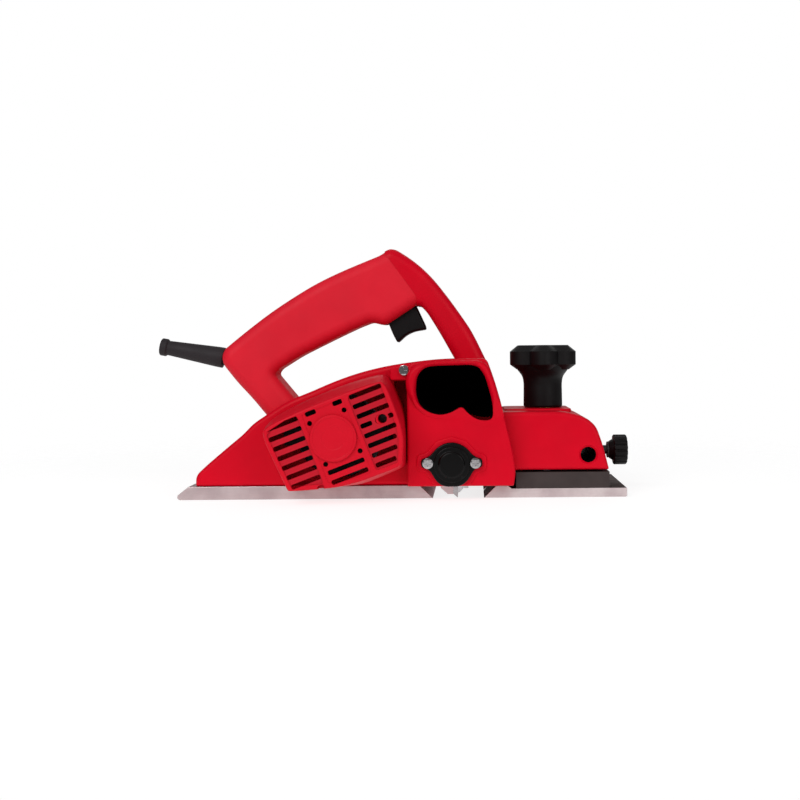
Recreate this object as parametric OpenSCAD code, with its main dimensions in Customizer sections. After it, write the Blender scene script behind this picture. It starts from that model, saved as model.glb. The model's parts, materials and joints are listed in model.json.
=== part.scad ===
// Electric hand planer, 82 mm blade, corded, belt driven.
// Frame: +X forward, the way the planer is pushed, +Z up, z = 0 on the sole.
// -Y is the chip-outlet and motor-cover side, +Y is the belt side.

/* [Sole] */
// Width of both shoes
shoe_w = 85; // [82:0.5:86]
// Thickness of the rear shoe
rear_shoe_t = 8.5; // [8:0.1:8.5]
// Thickness of the front shoe plate
front_shoe_t = 6; // [5:0.2:6.4]
// Depth of the chamfering groove in the front shoe
groove_d = 2.6; // [1.5:0.1:3]

/* [Cutter] */
// Cutting radius at the blade edges
cut_r = 23; // [22.5:0.1:23]
// Length of the cutter drum
drum_l = 82; // [80:0.5:82]
// Radius of the drum's round core
drum_core_r = 14; // [13:0.1:14.5]

/* [Motor] */
// Outer radius of the stator stack
stator_r = 29; // [28:0.1:29.4]
// Length of the stator stack
stator_l = 42; // [36:1:42]
// Radius of the armature core
armature_r = 16.4; // [15.5:0.1:16.6]
// Number of fan blades
fan_blades = 14; // [8:1:20]
// Pitch radius of the motor pulley
drive_r = 9.6; // [9:0.1:10]
// Pitch radius of the drum pulley
driven_r = 15; // [14:0.1:15.2]

/* [Grille] */
// Tilt of the cooling slots, in degrees
slot_tilt = 21; // [15:1:24]
// Distance between slot rows
slot_pitch = 6.4; // [5.8:0.1:6.8]
// Height of one slot
slot_h = 3; // [2:0.1:3.4]

/* [Handle] */
// Thickness of the handle across the tool
handle_t = 34; // [30:0.5:36]
// Wall of the handle shells
shell_wall = 3.5; // [3:0.1:4]

/* [Depth adjustment] */
// Radius of the depth knob's head at the lobes
knob_r = 24; // [20:0.5:24]
// Number of lobes on the depth knob
knob_lobes = 6; // [5:1:8]
// Radius of the threaded depth stud
depth_stud_r = 4; // [3.5:0.1:4]

/* [Fence] */
// Radius of the bore for the fence rod
rod_r = 5; // [4:0.1:5.2]
// Radius of the fence clamp knob
clamp_r = 10.1; // [9:0.1:10.5]

/* [Hidden] */
$fn = 64;

red = [0.80, 0.04, 0.06];
black = [0.06, 0.06, 0.065];
steel = [0.70, 0.71, 0.73];
alu = [0.78, 0.78, 0.76];
copper = [0.72, 0.38, 0.20];
brass = [0.78, 0.62, 0.30];
cast = [0.22, 0.19, 0.18];

// Drum axis and motor axis, both along Y
DX = 40; DZ = 23;
MX = -32; MZ = 41.5;
// Depth stud axis, and the height of the fence clamp
KX = 101; CZ = 27;

// ---- helpers -------------------------------------------------------------
module slab_y(y0, y1) translate([0, y1, 0]) rotate([90, 0, 0]) linear_extrude(y1 - y0) children();
module cyl_y(x, z, r, y0, y1) translate([x, y1, z]) rotate([90, 0, 0]) cylinder(r = r, h = y1 - y0);
module cyl_z(x, y, r, z0, z1) translate([x, y, z0]) cylinder(r = r, h = z1 - z0);
module cyl_x(y, z, r, x0, x1) translate([x0, y, z]) rotate([0, 90, 0]) cylinder(r = r, h = x1 - x0);
module block(x0, x1, y0, y1, z0, z1) translate([x0, y0, z0]) cube([x1 - x0, y1 - y0, z1 - z0]);
module ring_y(x, z, ro, ri, y0, y1) difference() {
    cyl_y(x, z, ro, y0, y1);
    cyl_y(x, z, ri, y0 - 1, y1 + 1);
}
// An outline moved inwards by d, corner by corner; d < 0 moves it outwards
function unit(v) = v / norm(v);
function turn(pts) = let (n = len(pts)) (sum([for (i = [0:n - 1]) let (a = pts[i], b = pts[(i + 1) % n]) a[0] * b[1] - b[0] * a[1]]) > 0) ? 1 : -1;
function sum(v, i = 0) = i < len(v) ? v[i] + sum(v, i + 1) : 0;
function inset(pts, d) = let (n = len(pts), s = turn(pts)) [for (i = [0:n - 1]) let (
    a = unit(pts[i] - pts[(i + n - 1) % n]), b = unit(pts[(i + 1) % n] - pts[i]),
    na = s * [-a[1], a[0]], nb = s * [-b[1], b[0]], m = na + nb)
    pts[i] + m * (d * 2 / (m * m))];
// Cross-head pan screw pointing to +Y from y0, where its head sits
module pan_screw_y(x, z, y0, head_r, head_h, shank_r, l) {
    difference() {
        union() {
            cyl_y(x, z, head_r, y0 - head_h, y0);
            cyl_y(x, z, shank_r, y0 - 0.5, y0 + l);
        }
        for (a = [0, 90]) translate([x, y0 - head_h, z]) rotate([0, a, 0]) cube([head_r * 1.2, 1.6, 0.7], center = true);
    }
}
// A helical spring, swept as one tube from z = 0 to z = h
module spring(r, wire, coils, h) {
    n = coils * 14; k = 6;
    pts = [for (i = [0:n]) let (a = 360 * coils * i / n) for (j = [0:k - 1]) let (b = 360 * j / k, q = r + wire * cos(b))
        [q * cos(a), q * sin(a), wire + (h - 2 * wire) * i / n + wire * sin(b)]];
    side = [for (i = [0:n - 1]) for (j = [0:k - 1]) let (p = i * k + j, s = i * k + (j + 1) % k) each [[p, s, s + k], [p, s + k, p + k]]];
    caps = concat([for (j = [1:k - 2]) [0, j + 1, j]], [for (j = [1:k - 2]) [n * k, n * k + j, n * k + j + 1]]);
    polyhedron(pts, [for (f = concat(side, caps)) [f[0], f[2], f[1]]]);
}

// ---- outlines, X and Z -----------------------------------------------------
body_outline = [[-125, 8.5], [-125, 15.5], [-117.5, 22.5], [-102, 35.5], [-94, 42], [-88, 48.5],
    [-66, 63], [-51.5, 68.5], [-36.5, 75], [-21, 80.5], [-5, 84.5], [10, 87], [28, 89], [41.5, 89.5],
    [62, 89.5], [67, 77], [71, 63], [74, 50], [78.5, 31], [80.5, 17.5], [79, 9], [79, 8.5]];
front_outline = [[73, 55], [74, 50], [78.5, 31], [80.5, 17.5], [141, 17.5], [137, 33.5], [133.5, 43.5],
    [131.5, 46.5], [127, 50.5], [119, 53.5], [110, 55]];
handle_outline = [[-83.8, 51.3], [-94.6, 64.5], [-103.6, 74], [-113, 86], [-114.5, 91.5], [-112.5, 97], [-99, 108],
    [-82, 121], [-66, 131.5], [-50, 141], [-34, 148.5], [-17, 155.5], [-8, 159], [-3.5, 162], [-1, 163],
    [3, 162.5], [11, 157.5], [19.5, 151], [27.5, 143], [35.5, 133], [43.5, 122], [52, 109.5], [56, 102],
    [62, 89.5], [41.5, 89.5], [31.5, 107.5], [23.5, 120.5], [19, 125], [16.5, 125],
    [-3.5, 112], [-9, 112.5], [-13.5, 114], [-21.5, 111], [-33.5, 105.5], [-50, 97.5], [-62, 91.5],
    [-70, 86.5], [-76.2, 82.6], [-78, 79.6], [-64.6, 64]];
outlet_outline = [[16.5, 68], [17.5, 79], [22, 84.5], [28, 86], [52, 86.5], [57.5, 85.5], [62, 79.5],
    [65, 69.5], [67, 61], [67.5, 49.5], [56.5, 49.5], [49.5, 54.5], [46.5, 58.5], [40, 54.5], [33.5, 53],
    [28, 54], [23.5, 56], [19, 60]];
rim_outline = [[11, 73], [12, 80], [15, 84.5], [20.5, 87.2], [33, 88.5], [58, 88.5], [63, 86], [67, 77],
    [71, 63], [73.5, 52], [70, 47], [58, 46.5], [49, 50], [40, 51], [25.5, 52.5], [17, 59.5], [13, 66.5]];
wall_outline = [[12, 9], [79, 9], [80.5, 17.5], [78.5, 31], [74, 50], [71, 63], [67, 77], [62.5, 88], [13, 86.5], [12, 78]];
cover_face = [[-77, 45], [-70, 50.5], [-52, 58.8], [-28, 68.3], [-8.5, 75], [-0.5, 76.5], [9.3, 50.5],
    [11.2, 41], [10.5, 26], [8.5, 23.5], [-15, 14.8], [-30.5, 11], [-59.5, 8.8], [-61, 10.5]];
cover_base = [[-80, 45], [-73, 53.5], [-54, 63.5], [-29, 73.5], [-9, 79.5], [0, 80.5], [10.5, 55],
    [11.8, 41], [11.6, 24], [9.5, 20.5], [-15, 10.5], [-31, 9], [-62, 8.6], [-65, 10]];
belt_outline = [[-68, 20], [-65, 12], [-58, 9], [16, 9], [24, 5], [32, 2.2], [48, 2.2], [56, 5], [62, 11],
    [66, 19], [67.5, 29], [66, 45], [60, 58], [48, 68], [28, 76], [4, 80], [-20, 79], [-40, 73], [-57, 63],
    [-67, 50], [-70, 36]];
retainer_outline = [[25.8, 20], [30.5, 12.2], [35, 9.2], [45, 9.2], [49.5, 12.2], [54.2, 20], [59, 21.5],
    [59.4, 24], [59, 26.5], [54.2, 28], [48, 35], [40, 37.5], [32, 35], [25.8, 28], [21, 26.5], [20.6, 24], [21, 21.5]];

// ---- frame and covers ------------------------------------------------------
module main_frame() color(red) difference() {
    union() {
        slab_y(-43, 43) polygon(body_outline);
        slab_y(-56, -42) polygon(wall_outline);
        slab_y(42, 56) polygon(belt_outline);
        slab_y(-60, -55) polygon(rim_outline);
        slab_y(-57, -55) polygon(inset(retainer_outline, -3));
        block(2, 14, -50, -42, 76, 86);
    }
    // drum chamber, open to the sole, and the throat up into the chip duct
    cyl_y(DX, DZ, 26, -43.5, 43.5);
    block(DX - 26, DX + 26, -43.5, 43.5, -1, DZ);
    block(52, 66, -40, 34, 30, 60);
    slab_y(-61, 36.2) polygon(inset(outlet_outline, -1.6));
    // the side walls stop above the sole
    block(-140, 90, -61, 57, -1, 2);
    block(-140, 27.6, -43.5, 43.5, -1, 8.5);
    // motor cavity, open to the motor cover
    cyl_y(MX, MZ, 30, -51, 40);
    // the hollow of the wedge, behind the motor
    slab_y(-26, 26) polygon([[-117, 12.5], [-117, 16], [-92, 38], [-66, 56], [-58, 58], [-58, 12.5]]);
    // bearing seats and shaft holes
    cyl_y(DX, DZ, 13, -61, -47.5);
    cyl_y(DX, DZ, 13, 47.5, 61);
    cyl_y(DX, DZ, 9, -60, 60);
    cyl_y(MX, MZ, 11, 49, 61);
    cyl_y(MX, MZ, 7, 30, 61);
    // screw holes: retainer, chute, belt cover, front housing, handle foot
    for (x = [25, 55]) cyl_y(x, 24, 1.8, -61, -46);
    cyl_y(10, 82.5, 1.8, -51, -44);
    for (p = belt_posts) cyl_y(p[0], p[1], 1.8, 45, 61);
    for (y = [-34, 34]) for (z = [27, 43.5]) translate([66, y, z]) rotate([0, 90, 0]) cylinder(r = 2.2, h = 20);
    for (y = [-34, 34]) for (z = [27, 43.5]) translate([65, y, z]) rotate([0, 90, 0]) cylinder(r = 4, h = 4.5);
    for (x = [-104, 7]) for (y = [-32, 32]) cyl_z(x, y, 2.2, 0, 24);
    // room round the chute screw's head, and the deep slot beside the motor cover
    cyl_y(10, 82.5, 3.4, -61, -50);
    block(3, 11.9, -44, -24, 48, 75.5);
    // clearance over the front shoe's raised lip
    block(58, 90, -43.5, 43.5, -1, 9.2);
    // screw hole of the motor cover
    cyl_y(-2, 53.2, 1.8, -61, -36);
}

module front_housing() color(red) difference() {
    union() {
        slab_y(-42.5, 42.5) polygon(front_outline);
        block(76, 118.5, -24, 24, 50, 56);
    }
    // rod bore, right through
    cyl_y(127.6, 27.2, rod_r, -43, 43);
    // spring chamber and the knob's bearing hole
    cyl_z(KX, 0, 12, 17, 49);
    cyl_z(KX, 0, 9.06, 48, 57);
    // guide-pin bores and the clamp stud's hole
    for (y = [-28, 28]) cyl_z(KX, y, depth_stud_r + 0.06, 17, 50);
    cyl_x(0, CZ, 3.06, 127, 142);
    // screws from the frame, and pockets that lighten the housing
    for (y = [-34, 34]) for (z = [27, 43.5]) cyl_x(y, z, 2.2, 70, 90);
    for (y = [-1, 1]) block(113, 119, y * 18 - 12, y * 18 + 12, 17, 44);
}

module front_housing_screws() color(steel)
    for (y = [-34, 34]) for (z = [27, 43.5]) { cyl_x(y, z, 3.9, 66.4, 69.5); cyl_x(y, z, 2.15, 69, 88); }

// Rows of slots in the tilted frame around the motor boss
slot_rows = [[-38, -16, [0, 1, 2, 3, 4, 5, 6]], [17.8, 39.5, [0, 1, 2, 4]], [17.6, 37, [5]], [17.6, 35, [6]],
    [17.4, 31.5, [7]], [17.8, 25.5, [3]], [36, 40, [3]], [-11, -4, [0]], [7, 13.2, [0]], [-11, 13, [6, 7]], [-20.5, -16, [7]]];
module slots() for (r = slot_rows) for (i = r[2]) translate([r[0], 19.5 - slot_pitch * i - slot_h / 2]) square([r[1] - r[0], slot_h]);
module motor_cover() color(red) difference() {
    union() {
        difference() {
            hull() {
                slab_y(-78, -77) polygon(cover_face);
                slab_y(-62, -61) polygon(inset(cover_base, 1));
                slab_y(-44, -43) polygon(cover_base);
            }
            hull() {
                slab_y(-75.5, -74.5) polygon(inset(cover_face, 2.5));
                slab_y(-62, -61) polygon(inset(cover_base, 3.5));
                slab_y(-44, -42) polygon(inset(cover_base, 2.6));
            }
        }
        cyl_y(MX, MZ, 14.4, -79.5, -66);
        cyl_y(-2, 53.2, 4.2, -76, -43);
    }
    // bearing seat and shaft relief
    cyl_y(MX, MZ, 11, -76, -60);
    // cooling slots
    translate([0, -70, 0]) rotate([90, 0, 0]) translate([MX, MZ, 0]) linear_extrude(12) rotate(slot_tilt) slots();
    for (u = [-10.3, 12.4]) for (v = [-13.2, 13.7]) translate([MX, -70, MZ]) rotate([90, 0, 0]) rotate(slot_tilt) translate([u, v, 0]) cylinder(r = 1.6, h = 12);
    // the well of the recessed screw
    cyl_y(-2, 53.2, 2, -80, -40);
    cyl_y(-2, 53.2, 2.9, -80, -66);
}
module motor_cover_screw() color(steel) pan_screw_y(-2, 53.2, -66, 2.7, 1.8, 1.75, 28);

module chip_chute() color(black) difference() {
    slab_y(-59, 36) polygon(inset(outlet_outline, -1.5));
    slab_y(-60, 34) polygon(outlet_outline);
    block(52.5, 65.5, -39.5, 33, 40, 62);
}
module chute_screw() color(steel) pan_screw_y(10, 82.5, -50, 3.2, 1.8, 1.75, 5.5);

belt_posts = [[-60, 50], [-56, 16], [56, 50]];
module belt_cover() color(black) difference() {
    union() {
        difference() {
            slab_y(56, 79.5) polygon(inset(belt_outline, 0.6));
            slab_y(55, 77) polygon(inset(belt_outline, 3.2));
        }
        for (p = belt_posts) cyl_y(p[0], p[1], 4, 56, 78);
    }
    for (p = belt_posts) { cyl_y(p[0], p[1], 2, 55, 80); cyl_y(p[0], p[1], 3.6, 76, 80); }
}
module belt_cover_screws() color(steel) for (p = belt_posts) translate([2 * p[0], 0, 0]) rotate([0, 0, 180]) pan_screw_y(p[0], p[1], -76, 3.3, 1.8, 1.75, 30);
module drive_belt() color(black) difference() {
    hull() { cyl_y(MX, MZ, drive_r + 2, 61, 71); cyl_y(DX, DZ, driven_r + 2, 61, 71); }
    hull() { cyl_y(MX, MZ, drive_r + 0.15, 60, 72); cyl_y(DX, DZ, driven_r + 0.15, 60, 72); }
}

// ---- handle ------------------------------------------------------------------
// The hollow, the trigger slot, the holes for guard and screws
handle_posts = [[-97, 79], [-56, 117], [46.5, 101], [18, 140]];
module handle_body(y0, y1) slab_y(y0, y1) polygon(handle_outline);
module guard_place() translate([-110, 0, 90.2]) rotate([0, -90 + 10.6, 0]) children();
module handle_shell(s) {
    h = handle_t / 2;
    difference() {
        union() {
            difference() {
                union() {
                    slab_y(min(0, s * (h - 5)), max(0, s * (h - 5))) polygon(handle_outline);
                    slab_y(min(0, s * h), max(0, s * h)) polygon(inset(handle_outline, 2.5));
                }
                slab_y(min(-s, s * (h - shell_wall)), max(-s, s * (h - shell_wall))) polygon(inset(handle_outline, shell_wall));
            }
            for (p = handle_posts) cyl_y(p[0], p[1], 3.6, min(0, s * (h - 1)), max(0, s * (h - 1)));
            // pad under the cord clamp
            block(-101, -93, min(s * 5, s * (h - 1)), max(s * 5, s * (h - 1)), 83, 88);
        }
        cyl_z(-97, s * 8, 1.8, 84, 89);
        // trigger slot
        slab_y(-8.5, 8.5) polygon([[-3.2, 108], [-8, 120], [-8, 124], [16.4, 134], [16.4, 124.9], [16.4, 108]]);
        for (p = handle_posts) cyl_y(p[0], p[1], s > 0 ? 2.1 : 1.8, s > 0 ? -1 : -12, s > 0 ? 20 : 1);
        if (s > 0) {
            for (p = handle_posts) cyl_y(p[0], p[1], 3.1, h - 3, 20);
            cyl_y(-15, 134, 5.06, 10, 20);
        }
        guard_place() translate([0, 0, -4]) cylinder(r = 5, h = 20);
    }
}
module handle_right_shell() color(red) handle_shell(-1);
module handle_left_shell() color(red) handle_shell(1);
module handle_screws() color(steel) for (p = handle_posts) {
    cyl_y(p[0], p[1], 3, 14.1, 15.8);
    cyl_y(p[0], p[1], 1.75, -11, 15);
}
module cord_guard() color(black) guard_place() difference() {
    union() {
        translate([0, 0, -9]) cylinder(r = 6.6, h = 2.5);
        translate([0, 0, -7]) cylinder(r = 4.95, h = 13);
        translate([0, 0, 4.8]) cylinder(r = 6.9, h = 4);
        translate([0, 0, 8.7]) cylinder(r1 = 6.9, r2 = 4.9, h = 34.8);
        translate([0, 0, 43.3]) cylinder(r = 5.9, h = 4.9);
    }
    translate([0, 0, -10]) cylinder(r = 3.7, h = 60);
}
module cord_clamp() color(black) difference() {
    union() { block(-100.1, -93, -11, 11, 88, 92); block(-99.6, -93, -4.9, 4.9, 91, 93.4); }
    for (y = [-8, 8]) cyl_z(-97, y, 1.8, 87, 93);
    guard_place() translate([0, 0, -30]) rotate([0, 0, 30]) cylinder(r = 4.2, h = 40, $fn = 6);
}
module cord_clamp_screws() color(steel) for (y = [-8, 8]) { cyl_z(-97, y, 3, 92, 93.8); cyl_z(-97, y, 1.75, 85, 92.5); }

// Switch behind the trigger, spring and lock button
pull = unit([-0.45, 0.89]);
module trigger_switch() color(black) union() {
    slab_y(-13.5, 5) polygon([[-26, 122], [2, 139.5], [-6, 151], [-33, 134]]);
    slab_y(-9, 1) polygon([[-33, 134], [-29.5, 128], [-33, 126], [-36.5, 132]]);
}
module trigger_spring() color(steel) translate([2, 0, 125.6]) rotate([0, -26.8, 0]) translate([0, 0, 0.6]) spring(2.6, 0.4, 5, 10.2);
module lock_button_spring() color(steel) translate([-15, 5, 134]) rotate([-90, 0, 0]) spring(2.6, 0.35, 3, 5.9);
module trigger() color(black) union() {
    slab_y(-8, 8) polygon([[-2.4, 112.8], [-1, 109], [1, 104.5], [2.8, 101.2], [3.6, 100.6], [5, 101.6], [8.5, 105], [14, 107.8], [22.5, 109.2], [22.2, 111.5], [16.2, 124.6], [14, 128], [-5.6, 117.4]]);
    slab_y(-10.5, 10.5) polygon([[-5, 116], [12, 127.1], [10, 130], [-6.3, 119.6]]);
}
module lock_button() color(black) union() {
    cyl_y(-15, 134, 5, 12, 20.5);
    cyl_y(-15, 134, 6.6, 11, 13.3);
}

// ---- shoes ---------------------------------------------------------------------
module rear_shoe() color(alu) difference() {
    slab_y(-shoe_w / 2, shoe_w / 2) polygon([[-135.5, 0], [27.5, 0], [19, rear_shoe_t], [-129.5, rear_shoe_t], [-136.5, 3], [-136.8, 1.2]]);
    for (x = [-104, 7]) for (y = [-32, 32]) {
        cyl_z(x, y, 2.4, -1, 10);
        translate([x, y, -0.01]) cylinder(r1 = 4.8, r2 = 2.4, h = 2.4);
    }
}
module rear_shoe_screws() color(steel) for (x = [-104, 7]) for (y = [-32, 32]) {
    translate([x, y, 0.5]) cylinder(r1 = 4.2, r2 = 2.1, h = 2.1);
    cyl_z(x, y, 2.1, 2.5, 22);
}
module front_shoe() color(alu) difference() {
    slab_y(-shoe_w / 2, shoe_w / 2) polygon([[60.2, 0], [151.6, 0], [152.3, 0.7], [152.3, front_shoe_t - 0.5], [151.8, front_shoe_t], [78, front_shoe_t], [76, 7.6], [67.8, 7.6]]);
    // chamfering groove
    translate([110, 0, 0]) rotate([45, 0, 0]) cube([110, groove_d * 1.414, groove_d * 1.414], center = true);
    for (x = [89, 134]) for (y = [-33, 33]) {
        cyl_z(x, y, 2.4, -1, 10);
        translate([x, y, -0.01]) cylinder(r1 = 4.8, r2 = 2.4, h = 2.4);
    }
}
module front_shoe_screws() color(steel) for (x = [89, 134]) for (y = [-33, 33]) {
    translate([x, y, 0.5]) cylinder(r1 = 4.2, r2 = 2.1, h = 2.1);
    cyl_z(x, y, 2.1, 2.5, 14);
}
module front_shoe_block() color(cast) difference() {
    block(81, 141.1, -shoe_w / 2, shoe_w / 2, front_shoe_t, 16.2);
    for (x = [89, 134]) for (y = [-33, 33]) cyl_z(x, y, 2.2, 5, 14.2);
    cyl_z(KX, 0, depth_stud_r, 7, 18);
    for (y = [-28, 28]) cyl_z(KX, y, depth_stud_r, 7, 18);
}
module depth_stud() color(steel) union() { cyl_z(KX, 0, depth_stud_r, 7, 74); cyl_z(KX, 0, 2.5, 73, 75); }
module guide_pins() color(steel) for (y = [-28, 28]) cyl_z(KX, y, depth_stud_r, 7, 46);
module depth_spring() color(steel) translate([KX, 0, 16.2]) spring(7.5, 0.7, 5, 29.7);

// ---- depth knob -----------------------------------------------------------------
module knob_star(r) union() {
    circle(r = r * 0.80);
    for (i = [0:knob_lobes - 1]) rotate(i * 360 / knob_lobes + 30) translate([r * 0.66, 0]) circle(r = r * 0.34);
}
module depth_knob() color(black) translate([KX, 0, 0]) difference() {
    union() {
        translate([0, 0, 83]) linear_extrude(13.5) knob_star(knob_r);
        translate([0, 0, 96]) linear_extrude(2) knob_star(knob_r - 1.6);
        rotate_extrude() polygon([[0, 56.2], [13, 56.2], [13.3, 57], [13, 74.5], [14.5, 78.5], [19, 83.5], [0, 83.5]]);
    }
    translate([0, 0, 50]) cylinder(r = 9, h = 28);
}
module depth_knob_insert() color(brass) translate([KX, 0, 0]) difference() {
    union() {
        translate([0, 0, 46]) cylinder(r = 11, h = 2.9);
        translate([0, 0, 46]) cylinder(r = 9, h = 32);
    }
    translate([0, 0, 45]) cylinder(r = depth_stud_r + 0.05, h = 32);
}

// ---- fence clamp -------------------------------------------------------------------
module fence_clamp_stud() color(steel) cyl_x(0, CZ, 3, 134, 151);
module fence_clamp_washer() color(steel) difference() { cyl_x(0, CZ, 5.4, 144, 145.2); cyl_x(0, CZ, 3.05, 143, 146); }
module fence_clamp_knob() color(black) difference() {
    translate([0, 0, CZ]) rotate([0, 90, 0]) rotate_extrude() polygon([[0, 145.25], [5.6, 145.25], [7.4, 148.4], [clamp_r - 0.8, 148.4], [clamp_r, 149.4], [clamp_r, 156], [clamp_r - 1.4, 157.5], [0, 157.5]]);
    cyl_x(0, CZ, 3, 145, 151);
    for (i = [0:13]) translate([0, 0, CZ]) rotate([i * 360 / 14, 0, 0]) cyl_x(clamp_r + 0.6, 0, 1.4, 148, 159);
}

// ---- drum ---------------------------------------------------------------------------
module both_ways() { children(); translate([DX, 0, DZ]) rotate([0, 180, 0]) translate([-DX, 0, -DZ]) children(); }
dl = drum_l / 2;
module cutter_drum() color(alu) difference() {
    union() {
        cyl_y(DX, DZ, drum_core_r, -dl, dl);
        both_ways() slab_y(-dl, dl) translate([DX, DZ]) polygon([[-7.5, 0], [0.5, 0], [0.5, -20.6], [-3, -20.6], [-7.5, -16.5]]);
        cyl_y(DX, DZ, 8, -47.4, 47.4);
        cyl_y(DX, DZ, 5, -56, 74);
    }
    both_ways() slab_y(-dl - 1, dl + 1) translate([DX, DZ]) polygon([[0.5, -8.5], [20, -8.5], [20, -30], [0.5, -30]]);
    both_ways() for (y = [-28, 0, 28]) translate([DX, y, DZ - 14]) rotate([0, 90, 0]) translate([0, 0, -5]) cylinder(r = 2.5, h = 12);
    cyl_y(DX, DZ, 2.5, 58, 75);
}
module planer_blades() color(steel) both_ways() difference() {
    slab_y(-dl, dl) translate([DX, DZ]) polygon([[0.5, -9.5], [3.5, -9.5], [3.5, -(cut_r - 0.3)], [3.2, -(cut_r - 0.3)], [0.5, -20.4]]);
    for (y = [-28, 0, 28]) translate([DX, y, DZ - 14]) rotate([0, 90, 0]) cylinder(r = 2.7, h = 12);
}
module blade_clamps() color(steel) both_ways() difference() {
    slab_y(-dl, dl) translate([DX, DZ]) polygon([[3.5, -8.5], [7.5, -8.5], [7.5, -16.5], [4.8, -19.5], [3.5, -19.5]]);
    for (y = [-28, 0, 28]) translate([DX, y, DZ - 14]) rotate([0, 90, 0]) cylinder(r = 2.7, h = 12);
}
module blade_clamp_bolts() color(steel) both_ways() for (y = [-28, 0, 28]) translate([DX, y, DZ - 14]) rotate([0, 90, 0]) {
    translate([0, 0, -4.5]) cylinder(r = 2.45, h = 12.5);
    translate([0, 0, 7.5]) cylinder(r = 4.4, h = 2.8, $fn = 6);
}
module driven_pulley() color(alu) difference() {
    union() { cyl_y(DX, DZ, driven_r, 60, 72); cyl_y(DX, DZ, driven_r + 1.4, 58.4, 60.2); cyl_y(DX, DZ, driven_r + 1.4, 71.8, 73); cyl_y(DX, DZ, 7.5, 56, 60); }
    cyl_y(DX, DZ, 5, 55, 75);
}
module driven_pulley_bolt() color(steel) union() { cyl_y(DX, DZ, 2.45, 60, 75); translate([DX, 76.4, DZ]) rotate([90, 0, 0]) cylinder(r = 5, h = 2.3, $fn = 6); }
module drum_bearing_outer_rings() color(steel) for (y = [-55.5, 47.5]) ring_y(DX, DZ, 13, 9.6, y, y + 8);
module drum_bearing_inner_rings() color(steel) for (y = [-55.5, 47.5]) ring_y(DX, DZ, 9.5, 5, y + 0.05, y + 7.95);
module drum_bearing_retainer() color(black) difference() {
    union() {
        slab_y(-60, -57) polygon(retainer_outline);
        cyl_y(DX, DZ, 13, -57.5, -55.6);
        cyl_y(DX, DZ, 11.4, -61.2, -59);
        cyl_y(DX, DZ, 7.5, -62.4, -61);
    }
    cyl_y(DX, DZ, 10, -57, -55);
    for (x = [25, 55]) cyl_y(x, 24, 1.9, -61, -55);
}
module retainer_screws() color(steel) for (x = [25, 55]) pan_screw_y(x, 24, -60, 3.3, 1.8, 1.75, 13);

// ---- motor ---------------------------------------------------------------------------
module sector(a0, a1, r) polygon([[0, 0], for (i = [0:6]) let (a = a0 + (a1 - a0) * i / 6) [r * cos(a), r * sin(a)]]);
module at_motor(y0, y1) translate([MX, y1, MZ]) rotate([90, 0, 0]) linear_extrude(y1 - y0) children();
module annulus(ri, ro) difference() { circle(r = ro); circle(r = ri); }
s0 = -36; s1 = s0 + stator_l;
module stator_core() color(steel) difference() {
    cyl_y(MX, MZ, stator_r, s0, s1);
    cyl_y(MX, MZ, 17, s0 - 1, s1 + 1);
    for (c = [90, 270]) for (m = [-1, 1]) at_motor(s0 - 1, s1 + 1) intersection() { annulus(17, 25.2); sector(c + m * 42 - 14, c + m * 42 + 14, 60); }
}
module field_coils() color(copper) for (c = [90, 270]) {
    for (m = [-1, 1]) at_motor(s0 - 9.9, s1 + 9.9) intersection() { annulus(18, 24.8); sector(c + m * 42 - 12, c + m * 42 + 12, 60); }
    for (y = [s0 - 10, s1 + 0.4]) at_motor(y, y + 9.6) intersection() { annulus(18, 24.8); sector(c - 54, c + 54, 60); }
}
module armature_shaft() color(steel) union() { cyl_y(MX, MZ, 4, -76, 76); cyl_y(MX, MZ, 5, -66, 47); }
module armature_core() color(steel) difference() {
    cyl_y(MX, MZ, armature_r, s0, s1);
    cyl_y(MX, MZ, 5, s0 - 1, s1 + 1);
    for (i = [0:11]) translate([MX, 0, MZ]) rotate([0, i * 30, 0]) block(-1.2, 1.2, s0 - 1, s1 + 1, armature_r - 1.6, armature_r + 1);
}
module armature_windings() color(copper) for (y = [s0 - 9, s1]) difference() {
    cyl_y(MX, MZ, 14.6, y + 0.01, y + 9);
    cyl_y(MX, MZ, 5, y - 1, y + 10);
}
module commutator() color(copper) difference() {
    cyl_y(MX, MZ, 12, -62, -47);
    cyl_y(MX, MZ, 5, -63, -46);
    for (i = [0:23]) translate([MX, 0, MZ]) rotate([0, i * 15, 0]) block(-0.25, 0.25, -63, -49, 11.2, 13);
}
module cooling_fan() color(black) difference() {
    union() {
        cyl_y(MX, MZ, 27, 34.4, 36);
        cyl_y(MX, MZ, 9, 22, 36);
        for (i = [0:fan_blades - 1]) translate([MX, 0, MZ]) rotate([0, i * 360 / fan_blades, 0]) block(6, 26.3, 22.6, 35.2, -0.7, 0.7);
    }
    cyl_y(MX, MZ, 5, 20, 38);
}
module fan_baffle() color(black) ring_y(MX, MZ, 30, 20, 17.6, 19.6);
module motor_bearing_outer_rings() color(steel) for (y = [-76, 49]) ring_y(MX, MZ, 11, 7.9, y, y + 7);
module motor_bearing_inner_rings() color(steel) for (y = [-76, 49]) ring_y(MX, MZ, 7.8, 4, y + 0.05, y + 6.95);
module drive_pulley() color(steel) difference() {
    union() { cyl_y(MX, MZ, drive_r, 60, 72); cyl_y(MX, MZ, drive_r + 1.4, 58.4, 60.2); cyl_y(MX, MZ, drive_r + 1.4, 71.8, 73); cyl_y(MX, MZ, 6, 56.2, 60); }
    cyl_y(MX, MZ, 4, 55, 75);
}
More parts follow.
